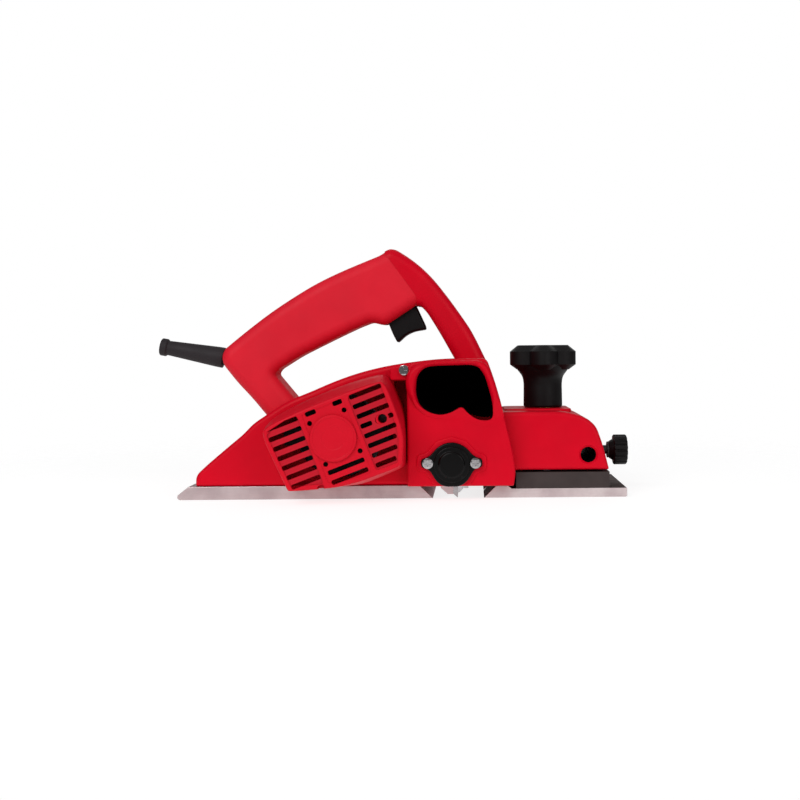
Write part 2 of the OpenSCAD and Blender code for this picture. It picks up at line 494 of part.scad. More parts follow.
// Brush gear: one holder in front of the commutator, one behind it
module brush_side(m) translate([MX, 0, MZ]) mirror([m < 0 ? 1 : 0, 0, 0]) children();
module brush_ring() color(black) difference() {
    union() {
        cyl_y(MX, MZ, 25.2, -50, -47);
        block(MX - 34.5, MX + 34.5, -50, -47, MZ - 3, MZ + 3);
        for (x = [-32, 32]) cyl_y(MX + x, MZ, 2.5, -50, -43);
    }
    cyl_y(MX, MZ, 15, -51, -46);
}
module brush_holders() for (m = [-1, 1]) brush_side(m) {
    color(brass) difference() {
        block(13.4, 33, -60, -50, -5.5, 5.5);
        block(12, 32, -58.08, -51.92, -4.08, 4.08);
    }
}
module carbon_brush() block(12.1, 24, -58, -52, -4, 4);
module carbon_brush_front() color([0.15, 0.15, 0.16]) brush_side(1) carbon_brush();
module carbon_brush_rear() color([0.15, 0.15, 0.16]) brush_side(-1) carbon_brush();
module brush_springs() color(steel) for (m = [-1, 1]) brush_side(m) translate([24, -55, 0]) rotate([0, 90, 0]) spring(2.4, 0.35, 4, 8);

main_frame();
front_housing();
front_housing_screws();
motor_cover();
motor_cover_screw();
chip_chute();
chute_screw();
belt_cover();
belt_cover_screws();
drive_belt();
handle_right_shell();
handle_left_shell();
handle_screws();
cord_guard();
cord_clamp();
cord_clamp_screws();
trigger_switch();
trigger_spring();
lock_button_spring();
rear_shoe();
rear_shoe_screws();
drum_bearing_outer_rings();
drum_bearing_retainer();
retainer_screws();
motor_bearing_outer_rings();
fan_baffle();
stator_core();
field_coils();
brush_ring();
brush_holders();
brush_springs();
depth_spring();
armature_shaft();
armature_core();
armature_windings();
commutator();
cooling_fan();
drive_pulley();
motor_bearing_inner_rings();
cutter_drum();
planer_blades();
blade_clamps();
blade_clamp_bolts();
driven_pulley();
driven_pulley_bolt();
drum_bearing_inner_rings();
front_shoe();
front_shoe_block();
front_shoe_screws();
depth_stud();
guide_pins();
depth_knob();
depth_knob_insert();
fence_clamp_washer();
fence_clamp_knob();
fence_clamp_stud();
trigger();
lock_button();
carbon_brush_front();
carbon_brush_rear();
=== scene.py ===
import json
import math

import bmesh
import bpy
import numpy as np
from mathutils import Matrix, Quaternion, Vector, geometry


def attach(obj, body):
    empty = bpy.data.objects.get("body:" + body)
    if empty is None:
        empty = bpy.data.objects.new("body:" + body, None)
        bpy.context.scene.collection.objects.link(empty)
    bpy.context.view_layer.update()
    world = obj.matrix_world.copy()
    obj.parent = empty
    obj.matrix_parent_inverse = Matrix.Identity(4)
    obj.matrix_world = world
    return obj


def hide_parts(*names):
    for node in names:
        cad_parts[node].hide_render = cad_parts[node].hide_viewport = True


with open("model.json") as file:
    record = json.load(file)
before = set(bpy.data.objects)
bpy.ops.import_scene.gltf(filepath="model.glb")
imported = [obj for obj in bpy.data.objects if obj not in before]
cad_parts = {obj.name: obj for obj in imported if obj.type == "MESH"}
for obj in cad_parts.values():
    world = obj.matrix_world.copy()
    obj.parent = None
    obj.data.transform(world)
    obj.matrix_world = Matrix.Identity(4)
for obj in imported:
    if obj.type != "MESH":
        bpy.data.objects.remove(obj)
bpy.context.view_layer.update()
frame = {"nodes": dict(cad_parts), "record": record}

MM = 0.001
scene = bpy.context.scene

# ---------------------------------------------------------------- camera
cam = bpy.data.objects.new("camera", bpy.data.cameras.new("camera"))
scene.collection.objects.link(cam)
cam.data.sensor_width = 36
cam.data.lens = 53.1
cam.data.shift_x = -0.091
cam.data.shift_y = -0.0575
cam.data.clip_start = 0.02
cam.location = (0.0538, -0.800, 0.0924)
cam.rotation_mode = "QUATERNION"
cam.rotation_quaternion = Quaternion((1, 0, 0), math.radians(90)) @ Quaternion((0, 0, 1), math.radians(-0.45))
scene.camera = cam

# ---------------------------------------------------------------- outlines, X and Z in mm
DX, DZ, MX, MZ, KX, CZ = 40.0, 23.0, -32.0, 41.5, 101.0, 27.0
TILT = math.radians(21)
body_outline = [(-125, 8.5), (-125, 15.5), (-117.5, 22.5), (-102, 35.5), (-94, 42), (-88, 48.5),
    (-66, 63), (-51.5, 68.5), (-36.5, 75), (-21, 80.5), (-5, 84.5), (10, 87), (28, 89), (41.5, 89.5),
    (62, 89.5), (67, 77), (71, 63), (74, 50), (78.5, 31), (80.5, 17.5), (79, 8.5)]
front_outline = [(69, 55), (70, 50), (74.5, 31), (76.5, 17.5), (141, 17.5), (137, 33.5), (133.5, 43.5),
    (131.5, 46.5), (127, 50.5), (119, 53.5), (110, 55)]
handle_outline = [(-83.8, 51.3), (-94.6, 64.5), (-103.6, 74), (-113, 86), (-114.5, 91.5), (-112.5, 97), (-99, 108),
    (-82, 121), (-66, 131.5), (-50, 141), (-34, 148.5), (-17, 155.5), (-8, 159), (-3.5, 162), (-1, 163),
    (3, 162.5), (11, 157.5), (19.5, 151), (27.5, 143), (35.5, 133), (43.5, 122), (52, 109.5), (56, 102),
    (62, 89.5), (41.5, 89.5), (31.5, 107.5), (23.5, 120.5), (19, 125), (16.5, 125),
    (-3.5, 112), (-9, 112.5), (-13.5, 114), (-21.5, 111), (-33.5, 105.5), (-50, 97.5), (-62, 91.5),
    (-70, 86.5), (-76.2, 82.6), (-78, 79.6), (-64.6, 64)]
outlet_outline = [(16.5, 68), (17.5, 79), (22, 84.5), (28, 86), (52, 86.5), (57.5, 85.5), (62, 79.5),
    (65, 69.5), (67, 61), (67.5, 49.5), (56.5, 49.5), (49.5, 54.5), (46.5, 58.5), (40, 54.5), (33.5, 53),
    (28, 54), (23.5, 56), (19, 60)]
rim_outline = [(11, 73), (12, 80), (15, 84.5), (20.5, 87.2), (33, 88.5), (58, 88.5), (63, 86), (67, 77),
    (71, 63), (73.5, 52), (70, 47), (58, 46.5), (49, 50), (40, 51), (25.5, 52.5), (17, 59.5), (13, 66.5)]
wall_outline = [(12, 9), (79, 9), (80.5, 17.5), (78.5, 31), (74, 50), (71, 63), (67, 77), (62.5, 89.5),
    (41, 89.5), (28, 89), (19, 88.1), (13, 86.5), (12, 78)]
cover_face = [(-77, 45), (-70, 50.5), (-52, 58.8), (-28, 68.3), (-8.5, 75), (-0.5, 76.5), (9.3, 50.5),
    (11.2, 41), (10.5, 26), (8.5, 23.5), (-15, 14.8), (-30.5, 11), (-59.5, 8.8), (-61, 10.5)]
cover_base = [(-80, 45), (-73, 53.5), (-54, 63.5), (-29, 73.5), (-9, 79.5), (0, 80.5), (10.5, 55),
    (11.8, 41), (11.6, 24), (9.5, 20.5), (-15, 10.5), (-31, 9), (-62, 8.6), (-65, 10)]
belt_outline = [(-68, 20), (-65, 12), (-58, 9), (16, 9), (24, 5), (32, 2.2), (48, 2.2), (56, 5), (62, 11),
    (66, 19), (67.5, 29), (66, 45), (60, 58), (48, 68), (28, 76), (4, 80), (-20, 79), (-40, 73), (-57, 63),
    (-67, 50), (-70, 36)]
retainer_outline = [(25.8, 20), (30.5, 12.2), (35, 9.2), (45, 9.2), (49.5, 12.2), (54.2, 20), (59, 21.5),
    (59.4, 24), (59, 26.5), (54.2, 28), (48, 35), (40, 37.5), (32, 35), (25.8, 28), (21, 26.5), (20.6, 24), (21, 21.5)]
handle_posts = [(-97, 79), (-56, 117), (46.5, 101), (18, 140)]
belt_posts = [(-60, 50), (-56, 16), (56, 50)]


def inset(pts, d):
    p = [np.array(q, float) for q in pts]
    n = len(p)
    area = sum(p[i - 1][0] * p[i][1] - p[i][0] * p[i - 1][1] for i in range(n))
    s = 1 if area > 0 else -1
    out = []
    for i in range(n):
        a = p[i] - p[i - 1]
        b = p[(i + 1) % n] - p[i]
        a, b = a / np.linalg.norm(a), b / np.linalg.norm(b)
        m = s * (np.array([-a[1], a[0]]) + np.array([-b[1], b[0]]))
        out.append(p[i] + m * (d * 2 / (m @ m)))
    return out


def soft(pts, step=1.6, cap=30.0, tight=None):
    """The outline with each corner turned into a curve, sampled every step or so."""
    tight = tight or {}
    p = [np.array(q, float) for q in pts]
    n = len(p)
    ln = [np.linalg.norm(p[(i + 1) % n] - p[i]) for i in range(n)]
    d = [min(0.499 * ln[i - 1], 0.499 * ln[i], tight.get(i, cap)) for i in range(n)]
    out = []
    for i in range(n):
        u = (p[i - 1] - p[i]) / ln[i - 1]
        v = (p[(i + 1) % n] - p[i]) / ln[i]
        s, e = p[i] + u * d[i], p[i] + v * d[i]
        bend = math.acos(max(-1, min(1, float(-(u @ v)))))
        m = max(2, math.ceil(bend / math.radians(10)), math.ceil(2 * d[i] / (1.3 * step)))
        for k in range(m + 1):
            t = k / m
            out.append((1 - t) ** 2 * s + 2 * t * (1 - t) * p[i] + t * t * e)
        rest = ln[i] - d[i] - d[(i + 1) % n]
        q = int(rest // step)
        for k in range(1, q + 1):
            out.append(e + v * rest * k / (q + 1))
    clean = [out[0]]
    for q in out[1:]:
        if np.linalg.norm(q - clean[-1]) > 0.08:
            clean.append(q)
    if np.linalg.norm(clean[0] - clean[-1]) < 0.08:
        clean.pop()
    return clean


def clip(pts, normal, d):
    """The part of a polygon where normal . p <= d."""
    out = []
    nv = np.array(normal, float)
    for i in range(len(pts)):
        a, b = np.array(pts[i - 1], float), np.array(pts[i], float)
        fa, fb = nv @ a - d, nv @ b - d
        if (fa <= 0) != (fb <= 0):
            out.append(a + (b - a) * fa / (fa - fb))
        if fb <= 0:
            out.append(b)
    clean = [out[0]]
    for q in out[1:]:
        if np.linalg.norm(q - clean[-1]) > 0.05:
            clean.append(q)
    return clean


def circle(x, z, r, n=48):
    return [np.array([x + r * math.cos(2 * math.pi * i / n), z + r * math.sin(2 * math.pi * i / n)]) for i in range(n)]


def area(loop):
    a = np.array(loop)
    b = np.roll(a, -1, 0)
    return 0.5 * float((a[:, 0] * b[:, 1] - b[:, 0] * a[:, 1]).sum())


def inside(q, loops):
    got = np.zeros(len(q), int)
    for l in loops:
        a = np.array(l)
        b = np.roll(a, -1, 0)
        x, y = q[:, 0:1], q[:, 1:2]
        cross = (a[None, :, 1] > y) != (b[None, :, 1] > y)
        dy = b[:, 1] - a[:, 1]
        dy = np.where(np.abs(dy) < 1e-12, 1e-12, dy)
        xi = a[None, :, 0] + (y - a[None, :, 1]) * ((b[:, 0] - a[:, 0]) / dy)[None, :]
        got += (cross & (x < xi)).sum(1)
    return got % 2 == 1


def distance(q, loops):
    best = np.full(len(q), 1e9)
    for l in loops:
        a = np.array(l)
        ab = np.roll(a, -1, 0) - a
        w = q[:, None, :] - a[None]
        t = np.clip((w * ab[None]).sum(2) / np.maximum((ab * ab).sum(1), 1e-12)[None], 0, 1)
        best = np.minimum(best, np.linalg.norm(w - t[..., None] * ab[None], axis=2).min(1))
    return best


def cap_of(loops, edge, n, straight=False):
    pts = [q for l in loops for q in l]
    rise = [0.0] * len(pts)
    bounds, cons, at = [], [], 0
    for l in loops:
        k = len(l)
        bounds.append(list(range(at, at + k)))
        cons += [(at + i, at + (i + 1) % k) for i in range(k)]
        at += k
    if edge:
        for j in range(1, n + 1):
            f = math.pi / 2 * j / n
            t = edge[0] * (1 - math.cos(f))
            up = edge[1] * math.sin(f)
            if straight:
                t, up = edge[0] * j / n, edge[1] * j / n
            seen = set()
            for l in loops:
                a = np.array(l)
                tan = np.roll(a, -1, 0) - np.roll(a, 1, 0)
                tan /= np.maximum(np.linalg.norm(tan, axis=1), 1e-9)[:, None]
                q = a + np.stack([-tan[:, 1], tan[:, 0]], 1) * t
                ok = (distance(q, loops) >= t - 0.02 - 0.02 * t) & inside(q, loops)
                for c, good in zip(q, ok):
                    key = (round(c[0] / 0.3), round(c[1] / 0.3))
                    if good and key not in seen:
                        seen.add(key)
                        pts.append(c)
                        rise.append(up)
    res = geometry.delaunay_2d_cdt([Vector((float(q[0]), float(q[1]))) for q in pts], cons, [], 0, 1e-6, True)
    v2 = np.array([[v[0], v[1]] for v in res[0]])
    back = {}
    hs = np.zeros(len(v2))
    for o, src in enumerate(res[3]):
        for s in src:
            back[s] = o
        if src:
            hs[o] = rise[min(src)]
    tri = np.array([f for f in res[2] if len(f) == 3])
    # parity from the hull inwards says which triangles are in the outline
    walls = {tuple(sorted(res[1][i])) for i, src in enumerate(res[4]) if src}
    touch = {}
    for t, f in enumerate(tri.tolist()):
        for i in range(3):
            touch.setdefault(tuple(sorted((f[i - 1], f[i]))), []).append(t)
    state, front = [None] * len(tri), []
    for e, ts in touch.items():
        if len(ts) == 1 and state[ts[0]] is None:
            state[ts[0]] = e in walls
            front.append(ts[0])
    while front:
        t = front.pop()
        f = tri[t].tolist()
        for i in range(3):
            e = tuple(sorted((f[i - 1], f[i])))
            for u in touch[e]:
                if state[u] is None:
                    state[u] = state[t] != (e in walls)
                    front.append(u)
    tri = tri[np.array(state, bool)]
    return v2, hs, tri, [[back[i] for i in b] for b in bounds]


def slab(loops, h0, h1, e0=None, e1=None, plane="XZ", n=5, straight=False):
    """A plate between two heights, with its edges rounded by (inset, rise)."""
    ls = []
    for i, l in enumerate(loops):
        l = [np.array(q, float) for q in l]
        if (area(l) > 0) != (i == 0):
            l = l[::-1]
        ls.append(l)
    a2, ah, at, ab = cap_of(ls, e0, n, straight)
    b2, bh, bt, bb = cap_of(ls, e1, n, straight)
    verts, faces = [], []
    r0 = e0[1] if e0 else 0
    r1 = e1[1] if e1 else 0
    for q, h in zip(a2, ah):
        verts.append((q[0], q[1], h0 + r0 - h))
    off = len(verts)
    for q, h in zip(b2, bh):
        verts.append((q[0], q[1], h1 - r1 + h))
    faces += [(int(t[0]), int(t[2]), int(t[1])) for t in at]
    faces += [(int(t[0]) + off, int(t[1]) + off, int(t[2]) + off) for t in bt]
    for la, lb in zip(ab, bb):
        k = len(la)
        for i in range(k):
            j = (i + 1) % k
            faces.append((la[i], la[j], lb[j] + off, lb[i] + off))
    place = {"XZ": lambda a, b, h: (a, h, b), "XY": lambda a, b, h: (a, b, h), "YZ": lambda a, b, h: (h, a, b)}[plane]
    return [place(*v) for v in verts], faces


def box_mesh(x0, x1, y0, y1, z0, z1):
    v = [(x, y, z) for x in (x0, x1) for y in (y0, y1) for z in (z0, z1)]
    return v, [(0, 1, 3, 2), (4, 6, 7, 5), (0, 4, 5, 1), (2, 3, 7, 6), (0, 2, 6, 4), (1, 5, 7, 3)]


def path(pts, cuts, n=5):
    """An open profile with its corners rounded by the lengths in cuts."""
    p = [np.array(q, float) for q in pts]
    out = [p[0]]
    for i in range(1, len(p) - 1):
        c = cuts[i] if isinstance(cuts, (list, tuple)) else cuts
        la, lb = np.linalg.norm(p[i - 1] - p[i]), np.linalg.norm(p[i + 1] - p[i])
        c = min(c, 0.49 * la, 0.49 * lb)
        if c < 0.02:
            out.append(p[i])
            continue
        s, e = p[i] + (p[i - 1] - p[i]) / la * c, p[i] + (p[i + 1] - p[i]) / lb * c
        for k in range(n + 1):
            t = k / n
            out.append((1 - t) ** 2 * s + 2 * t * (1 - t) * p[i] + t * t * e)
    out.append(p[-1])
    return out


def lathe(profile, origin, direction, n=72, closed=False, radius=None):
    """Revolves (radius, distance) pairs about a line. radius(angle, r, s) may reshape it."""
    rot = Vector(direction).to_track_quat("Z", "Y").to_matrix()
    verts, rings, faces = [], [], []
    for r, s in profile:
        if r < 1e-6:
            rings.append([len(verts)])
            verts.append(Vector((0, 0, s)))
        else:
            rings.append(list(range(len(verts), len(verts) + n)))
            for k in range(n):
                a = 2 * math.pi * k / n
                q = radius(a, r, s) if radius else r
                verts.append(Vector((q * math.cos(a), q * math.sin(a), s)))
    pairs = list(zip(rings, rings[1:] + ([rings[0]] if closed else [])))
    for a, b in (pairs if closed else pairs[:len(rings) - 1]):
        for k in range(n):
            m = (k + 1) % n
            if len(a) == 1 and len(b) == 1:
                continue
            if len(a) == 1:
                faces.append((a[0], b[m], b[k]))
            elif len(b) == 1:
                faces.append((a[k], a[m], b[0]))
            else:
                faces.append((a[k], a[m], b[m], b[k]))
    o = Vector(origin)
    return [tuple(rot @ v + o) for v in verts], faces


def cyl(x, z, r, y0, y1, n=64):
    return lathe([(0, y0), (r, y0), (r, y1), (0, y1)], (x, 0, z), (0, 1, 0), n)


def rod(origin, direction, r, s0, s1, n=48):
    return lathe([(0, s0), (r, s0), (r, s1), (0, s1)], origin, direction, n)


def loft(rings):
    """Closes a stack of rings, each with the same number of (x, y, z) points."""
    n = len(rings[0])
    verts = [tuple(q) for ring in rings for q in ring]
    faces = []
    for k in range(len(rings) - 1):
        for i in range(n):
            j = (i + 1) % n
            faces.append((k * n + i, k * n + j, (k + 1) * n + j, (k + 1) * n + i))
    faces.append(tuple(range(n))[::-1])
    faces.append(tuple((len(rings) - 1) * n + i for i in range(n)))
    return verts, faces


def outwards(bm):
    """Turns each closed island so that its faces point out."""
    todo = set(bm.faces)
    while todo:
        seed = todo.pop()
        island, front = [seed], [seed]
        while front:
            for e in front.pop().edges:
                for f in e.link_faces:
                    if f in todo:
                        todo.remove(f)
                        island.append(f)
                        front.append(f)
        vol = 0.0
        for f in island:
            v = [q.co for q in f.verts]
            for i in range(1, len(v) - 1):
                vol += v[0].dot(v[i].cross(v[i + 1]))
        if vol < 0:
            bmesh.ops.reverse_faces(bm, faces=island)


def obj_of(name, data):
    verts, faces = data
    me = bpy.data.meshes.new(name)
    me.from_pydata([(x * MM, y * MM, z * MM) for x, y, z in verts], [], [tuple(f) for f in faces])
    bm = bmesh.new()
    bm.from_mesh(me)
    bmesh.ops.remove_doubles(bm, verts=bm.verts, dist=2e-6)
    bmesh.ops.dissolve_degenerate(bm, edges=bm.edges, dist=1e-7)
    outwards(bm)
    bm.to_mesh(me)
    bm.free()
    o = bpy.data.objects.new(name, me)
    scene.collection.objects.link(o)
    return o


def combine(a, data, op):
    """Joins a solid to a, or cuts it out of a."""
    b = obj_of("tool", data)
    before = (len(a.data.vertices), len(a.data.polygons))
    for solver in ("MANIFOLD", "EXACT"):
        m = a.modifiers.new("cut", "BOOLEAN")
        m.operation, m.object, m.solver = op, b, solver
        bpy.context.view_layer.update()
        me = bpy.data.meshes.new_from_object(a.evaluated_get(bpy.context.evaluated_depsgraph_get()))
        a.modifiers.clear()
        if (len(me.vertices), len(me.polygons)) not in (before, (0, 0)):
            old = a.data
            a.data = me
            bpy.data.meshes.remove(old)
            break
        bpy.data.meshes.remove(me)
    else:
        print("combine changed nothing:", a.name, op)
    bpy.data.objects.remove(b)
    return a


def cut(a, *tools):
    for t in tools:
        combine(a, t, "DIFFERENCE")
    return a


def add(a, *tools):
    for t in tools:
        combine(a, t, "UNION")
    return a


def merge(*datas):
    """Several solids that don't touch, as one tool."""
    verts, faces = [], []
    for v, f in datas:
        k = len(verts)
        verts += list(v)
        faces += [tuple(i + k for i in g) for g in f]
    return verts, faces


def done(o, name, body, nodes, mats, angle=34):
    """Names a finished piece, shades it, hangs it on the body it rides on, and hides the parts it stands for."""
    me = o.data
    bm = bmesh.new()
    bm.from_mesh(me)
    bmesh.ops.remove_doubles(bm, verts=bm.verts, dist=1.5e-6)
    bmesh.ops.dissolve_degenerate(bm, edges=bm.edges, dist=1e-7)
    loose = [v for v in bm.verts if not v.link_faces]
    bmesh.ops.delete(bm, geom=loose, context="VERTS")
    bm.to_mesh(me)
    bm.free()
    o.name = me.name = name
    me.materials.clear()
    for m in mats:
        me.materials.append(m)
    me.polygons.foreach_set("use_smooth", [True] * len(me.polygons))
    me.set_sharp_from_angle(angle=math.radians(angle))
    w = o.modifiers.new("normals", "WEIGHTED_NORMAL")
    w.keep_sharp = True
    w.weight = 60
    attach(o, body)
    if nodes:
        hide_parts(*nodes)
    return o


# ---------------------------------------------------------------- materials
def lin(r, g, b):
    return tuple(((c / 255) / 12.92 if c <= 10 else (((c / 255) + 0.055) / 1.055) ** 2.4) for c in (r, g, b)) + (1.0,)


class Graph:
    def __init__(self, name):
        self.m = bpy.data.materials.new(name)
        self.m.use_nodes = True
        self.t = self.m.node_tree
        self.p = self.t.nodes["Principled BSDF"]
        self.tc = self.t.nodes.new("ShaderNodeTexCoord")

    def link(self, a, b):
        self.t.links.new(a, b)

    def scaled(self, s):
        m = self.t.nodes.new("ShaderNodeMapping")
        m.inputs["Scale"].default_value = s
        self.link(self.tc.outputs["Object"], m.inputs["Vector"])
        return m.outputs["Vector"]

    def noise(self, scale=(1, 1, 1), size=100.0, detail=3.0, rough=0.55, warp=0.0):
        n = self.t.nodes.new("ShaderNodeTexNoise")
        n.inputs["Scale"].default_value = size
        n.inputs["Detail"].default_value = detail
        n.inputs["Roughness"].default_value = rough
        n.inputs["Distortion"].default_value = warp
        self.link(self.scaled(scale), n.inputs["Vector"])
        return n.outputs["Fac"]

    def ramp(self, fac, lo, hi, a, b):
        r = self.t.nodes.new("ShaderNodeMapRange")
        r.inputs["From Min"].default_value, r.inputs["From Max"].default_value = lo, hi
        r.inputs["To Min"].default_value, r.inputs["To Max"].default_value = a, b
        self.link(fac, r.inputs["Value"])
        return r.outputs["Result"]

    def math(self, op, a, b):
        n = self.t.nodes.new("ShaderNodeMath")
        n.operation = op
        for i, x in enumerate((a, b)):
            if isinstance(x, (int, float)):
                n.inputs[i].default_value = x
            else:
                self.link(x, n.inputs[i])
        return n.outputs[0]

    def mix(self, fac, a, b):
        n = self.t.nodes.new("ShaderNodeMix")
        n.data_type = "RGBA"
        if isinstance(fac, (int, float)):
            n.inputs["Factor"].default_value = fac
        else:
            self.link(fac, n.inputs["Factor"])
        for key, x in (("A", a), ("B", b)):
            sock = [s for s in n.inputs if s.name == key and s.type == "RGBA"][0]
            if isinstance(x, tuple):
                sock.default_value = x
            else:
                self.link(x, sock)
        return [s for s in n.outputs if s.type == "RGBA"][0]

    def bump(self, *layers):
        """Each layer is (height, distance in metres, strength)."""
        prev = None
        for h, d, s in layers:
            b = self.t.nodes.new("ShaderNodeBump")
            b.inputs["Distance"].default_value = d
            b.inputs["Strength"].default_value = s
            self.link(h, b.inputs["Height"])
            if prev:
                self.link(prev, b.inputs["Normal"])
            prev = b.outputs["Normal"]
        self.link(prev, self.p.inputs["Normal"])

    def edges(self, lo=0.53, hi=0.62):
        g = self.t.nodes.new("ShaderNodeNewGeometry")
        return self.ramp(g.outputs["Pointiness"], lo, hi, 0.0, 1.0)


def moulded(name, colour, rough=0.42, grain=0.5, spec=0.5, worn=0.10, worn_to=None, coat=0.0, mottled=0.10):
    g = Graph(name)
    g.p.inputs["Specular IOR Level"].default_value = spec
    g.p.inputs["Coat Weight"].default_value = coat
    g.p.inputs["Coat Roughness"].default_value = 0.25
    dark = tuple(c * (1 - mottled) for c in colour[:3]) + (1.0,)
    pale = worn_to or tuple(min(1, c * 1.18 + 0.012) for c in colour[:3]) + (1.0,)
    cloud = g.ramp(g.noise(size=38, detail=4), 0.35, 0.68, 0.0, 1.0)
    speck = g.ramp(g.noise(size=1500, detail=2), 0.30, 0.70, 0.0, 1.0)
    base = g.mix(cloud, dark, colour)
    base = g.mix(g.math("MULTIPLY", speck, 0.16), base, dark)
    wear = g.math("MULTIPLY", g.edges(), g.ramp(g.noise(size=160, detail=3), 0.42, 0.62, 0.25, 1.0))
    base = g.mix(g.math("MULTIPLY", wear, worn), base, pale)
    g.link(base, g.p.inputs["Base Color"])
    rub = g.ramp(g.noise(size=70, detail=5), 0.30, 0.70, rough - 0.06, rough + 0.07)
    g.link(g.math("ADD", rub, g.math("MULTIPLY", wear, -0.08)), g.p.inputs["Roughness"])
    g.bump((g.noise(size=55, detail=2), 0.00012, 0.35), (g.noise(size=1900, detail=2, rough=0.7), 0.00004, grain))
    return g.m


def metal(name, colour, rough=0.3, lines=None, metallic=1.0, stain=None, line_bump=0.4, grain=0.15, top=None):
    g = Graph(name)
    g.p.inputs["Metallic"].default_value = metallic
    dull = tuple(c * 0.78 for c in colour[:3]) + (1.0,)
    cloud = g.ramp(g.noise(size=60, detail=5), 0.34, 0.66, 0.0, 1.0)
    base = g.mix(cloud, stain or dull, colour)
    rub = g.ramp(g.noise(size=90, detail=4), 0.30, 0.70, rough - 0.07, rough + 0.09)
    layers = [(g.noise(size=1400, detail=2, rough=0.7), 0.00003, grain)]
    if lines:
        cuts = g.noise(scale=lines, size=1.0, detail=3, rough=0.6)
        base = g.mix(g.ramp(cuts, 0.35, 0.7, 0.0, 0.30), base, dull)
        rub = g.math("ADD", rub, g.ramp(cuts, 0.3, 0.7, -0.05, 0.07))
        layers.append((cuts, 0.00005, line_bump))
    # convex edges are painted lighter: a painted highlight along the edges
    painted_edge_shine = g.edges()
    base = g.mix(g.math("MULTIPLY", painted_edge_shine, 0.35), base, tuple(min(1, c * 1.25) for c in colour[:3]) + (1.0,))
    if top:
        # the faces that point up are made darker and rougher
        s = g.t.nodes.new("ShaderNodeSeparateXYZ")
        g.link(g.tc.outputs["Normal"], s.inputs[0])
        up = g.ramp(s.outputs["Z"], 0.35, 0.55, 0.0, 1.0)
        base = g.mix(up, base, g.mix(cloud, tuple(c * 0.75 for c in top[:3]) + (1.0,), top))
        rub = g.math("ADD", rub, g.math("MULTIPLY", up, 0.22))
    g.link(base, g.p.inputs["Base Color"])
    g.link(rub, g.p.inputs["Roughness"])
    g.bump(*layers)
    return g.m


RED = lin(207, 0, 30)
mat_red = moulded("red_body", RED, rough=0.42, grain=0.30, spec=0.09, worn=0.08)
mat_grip = moulded("red_grip", lin(220, 18, 42), rough=0.60, grain=0.75, spec=0.22, worn=0.08)
mat_cover = moulded("red_cover", lin(208, 8, 34), rough=0.46, grain=0.35, spec=0.12, worn=0.12)
mat_cover_in = moulded("red_cover_recess", lin(190, 14, 36), rough=0.58, grain=0.5, spec=0.15, worn=0.05)
mat_black = moulded("black_moulding", lin(11, 8, 9), rough=0.46, grain=0.5, spec=0.16, worn=0.25, worn_to=lin(48, 44, 45))
mat_gloss = moulded("black_gloss", lin(4, 3, 3), rough=0.28, grain=0.12, spec=0.14, worn=0.2, worn_to=lin(48, 46, 47))
# near-black, very dull: the chip duct's liner, and painted shade in the front housing's rod hole
mat_duct_and_hole_shade = moulded("black_duct_and_painted_hole_shade", lin(3, 3, 3), rough=0.85, grain=0.4, spec=0.08, worn=0.0)
mat_rubber = moulded("black_rubber", lin(40, 35, 38), rough=0.62, grain=0.8, spec=0.25, worn=0.15, worn_to=lin(70, 66, 68))
mat_belt = moulded("belt_rubber", lin(30, 30, 30), rough=0.75, grain=0.9, spec=0.2)
mat_alu = metal("machined_aluminium", lin(204, 186, 187), 0.44, (40, 900, 1700), stain=lin(178, 158, 160))
mat_alu_top = metal("machined_shoe_dark_top", lin(220, 206, 206), 0.44, (40, 900, 1700), stain=lin(194, 176, 178), top=lin(82, 68, 66))
mat_cast = metal("cast_block", lin(56, 44, 43), 0.64, None, metallic=0.3, stain=lin(42, 33, 32), grain=0.9)
mat_oxide = metal("black_oxide", lin(52, 50, 51), 0.40, None, metallic=0.8)
mat_plated = metal("plated_steel", lin(190, 186, 188), 0.17, None, grain=0.05)
mat_bright = metal("ground_steel", lin(205, 205, 208), 0.26, (300, 300, 300))
mat_blade = metal("blade_steel", lin(176, 172, 174), 0.24, (60, 60, 1200))
mat_lam = metal("laminations", lin(120, 120, 124), 0.42, (60, 1500, 60), line_bump=0.9)
mat_wire = metal("copper_wire", lin(196, 108, 62), 0.34, (900, 200, 900), line_bump=0.9)
mat_bar = metal("copper_bar", lin(205, 128, 86), 0.28, (600, 40, 600))
mat_brass = metal("brass_turned", lin(206, 172, 96), 0.28, (200, 200, 900))
mat_carbon = moulded("carbon", lin(44, 44, 46), rough=0.55, grain=0.8, spec=0.3)

SLOTS = {"red_plastic": mat_red, "black_plastic": mat_black, "black_rubber": mat_rubber, "belt_rubber": mat_belt,
    "machined_aluminium": mat_alu, "cast_grey": mat_cast, "plated_steel": mat_plated, "blackened_steel": mat_oxide, "bright_steel": mat_bright,
    "blade_steel": mat_blade, "lamination_steel": mat_lam, "copper_wire": mat_wire, "copper_bar": mat_bar,
    "brass": mat_brass, "carbon": mat_carbon}

# ---------------------------------------------------------------- CAD nodes that stay
for row in frame["record"]["subparts"]:
    o = frame["nodes"][row["node"]]
    o.data.materials.clear()
    m = SLOTS.get(row["material_slot"], mat_black)
    if row["node"] == "front_shoe":
        m = mat_alu_top
    o.data.materials.append(m)

